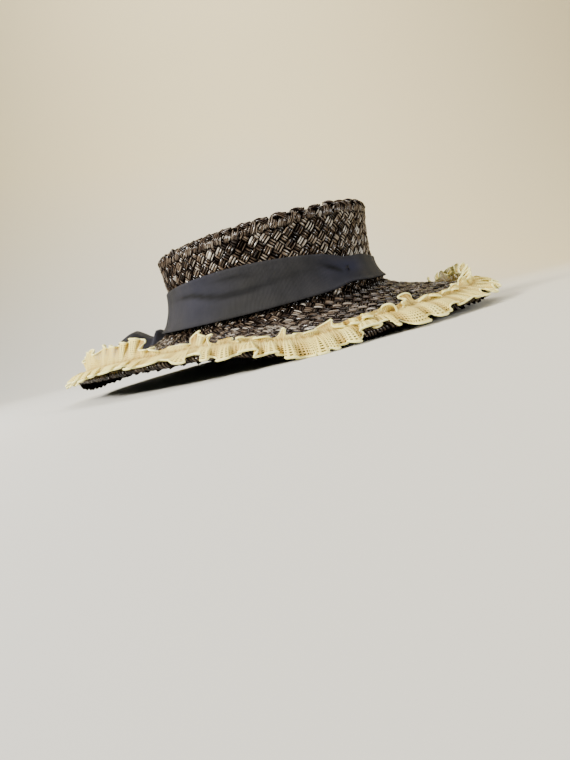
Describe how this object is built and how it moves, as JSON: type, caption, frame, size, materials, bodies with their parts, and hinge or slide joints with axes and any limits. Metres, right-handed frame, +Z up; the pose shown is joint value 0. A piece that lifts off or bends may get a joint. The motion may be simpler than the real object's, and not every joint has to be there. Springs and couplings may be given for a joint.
{
  "type": "boater hat",
  "caption": "Low-crowned boater hat of dark plaited straw with a wavy drooping brim, a ribbon band with a flat bow, and a gathered net ruffle round the edge.",
  "frame": {"origin": "middle of the hat's whole length and width, on the surface that it rests on, rim down", "axes": "+X to the wearer's front, +Y to the wearer's left, +Z up through the crown"},
  "size_m": [0.3561, 0.333, 0.1026],
  "materials": {
    "dark_straw": "glossy plaited straw, dark brown",
    "charcoal_ribbon": "matt grosgrain ribbon, charcoal navy",
    "cream_net": "soft cream net"
  },
  "bodies": {
    "root": {"brim": "dark_straw", "crown_side": "dark_straw", "crown_tip": "dark_straw", "hat_band": "charcoal_ribbon", "bow_knot": "charcoal_ribbon", "bow_loop_back": "charcoal_ribbon", "bow_loop_left": "charcoal_ribbon", "bow_tail_back": "charcoal_ribbon", "bow_tail_left": "charcoal_ribbon", "brim_ruffle": "cream_net"}
  },
  "joints": []
}
